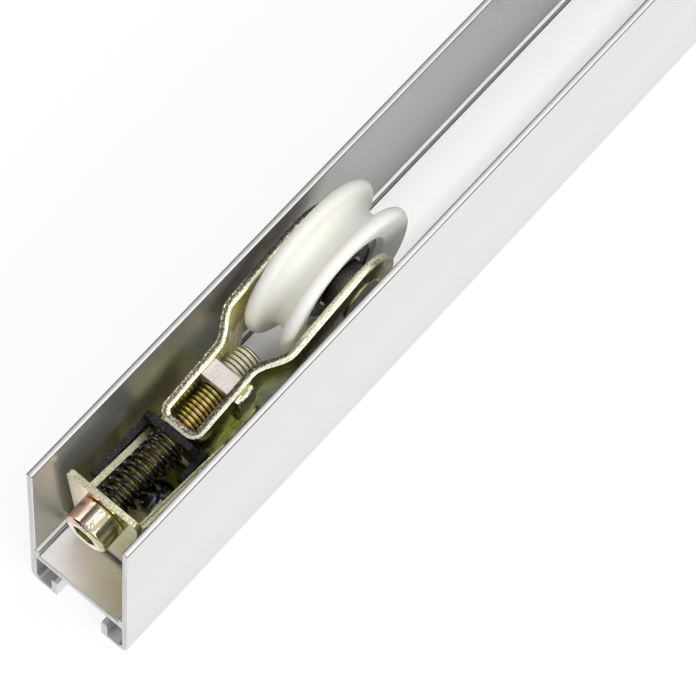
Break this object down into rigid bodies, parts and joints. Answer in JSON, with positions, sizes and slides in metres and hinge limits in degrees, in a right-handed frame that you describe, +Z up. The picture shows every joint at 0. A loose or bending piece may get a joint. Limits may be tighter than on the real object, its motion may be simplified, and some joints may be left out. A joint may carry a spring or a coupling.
{
  "type": "sliding door bottom rail with adjustable roller",
  "caption": "Extruded aluminium sliding-door bottom rail with a grooved nylon roller on a sloping fork, held by a long spring-loaded socket screw that sets its height",
  "frame": {"origin": "under the middle of the rail, midway between the walls, at the level of the bottom flanges", "axes": "+X runs along the rail away from the screw head, +Y is across the rail, +Z is up towards the wheel"},
  "size_m": [0.24, 0.0254, 0.0652],
  "materials": {
    "anodised_rail": "satin silver anodised extrusion with sawn ends",
    "zinc_plate": "yellow zinc-plated pressed steel with sheared edges",
    "bright_zinc": "bright zinc-plated steel",
    "shoe_plastic": "black moulded nylon, slightly glossy",
    "nut_steel": "zinc-plated steel with a pale pink and gold tint",
    "rivet_steel": "dark bronze-toned turned steel",
    "bearing_steel": "ground and polished bearing steel",
    "seal_rubber": "black moulded seal",
    "cage_brass": "pressed brass ribbon",
    "tyre_nylon": "ivory-white nylon, semi-gloss",
    "spring_steel": "black oiled spring wire",
    "screw_steel": "yellow zinc-plated steel with pink and green tints"
  },
  "bodies": {
    "rail": {"rail_profile": "anodised_rail", "roller_bracket": "zinc_plate", "bracket_screw": "bright_zinc"},
    "spring_seat": {"spring_washer": "bright_zinc", "compression_spring": "spring_steel"},
    "screw": {"adjusting_screw": "screw_steel"},
    "carriage": {"wheel_fork": "zinc_plate", "guide_shoe": "shoe_plastic", "cross_nut": "nut_steel", "axle_rivet": "rivet_steel", "axle_spacer_left": "bright_zinc", "axle_spacer_right": "bright_zinc", "bearing_inner_ring": "bearing_steel"},
    "wheel": {"wheel_tyre": "tyre_nylon", "bearing_outer_ring": "bearing_steel", "bearing_seal_left": "seal_rubber", "bearing_seal_right": "seal_rubber", "bearing_balls": "bearing_steel", "bearing_cage_left": "cage_brass", "bearing_cage_right": "cage_brass"}
  },
  "joints": [
    {"name": "screw_lift", "type": "slide", "parent": "rail", "child": "spring_seat", "axis": [-0.0698, 0, 0.9976], "range_m": [0, 0.00089]},
    {"name": "carriage_slide", "type": "slide", "parent": "spring_seat", "child": "carriage", "axis": [0.9976, 0, 0.0698], "range_m": [0, 0.0059], "deforming": ["compression_spring"]},
    {"name": "screw_turn", "type": "hinge", "parent": "spring_seat", "child": "screw", "pos_m": [-0.1124, 0, 0.041], "axis": [0.9976, 0, 0.0698], "range_deg": [-2140, 0]},
    {"name": "wheel_spin", "type": "hinge", "parent": "carriage", "child": "wheel", "pos_m": [-0.0473, 0, 0.0467], "axis": [0, 1, 0], "continuous": true}
  ],
  "couplings": [
    {"joint": "screw_lift", "follows": "carriage_slide", "ratio": 0.14945},
    {"joint": "screw_turn", "follows": "carriage_slide", "rad_per_m": -6283.2}
  ]
}
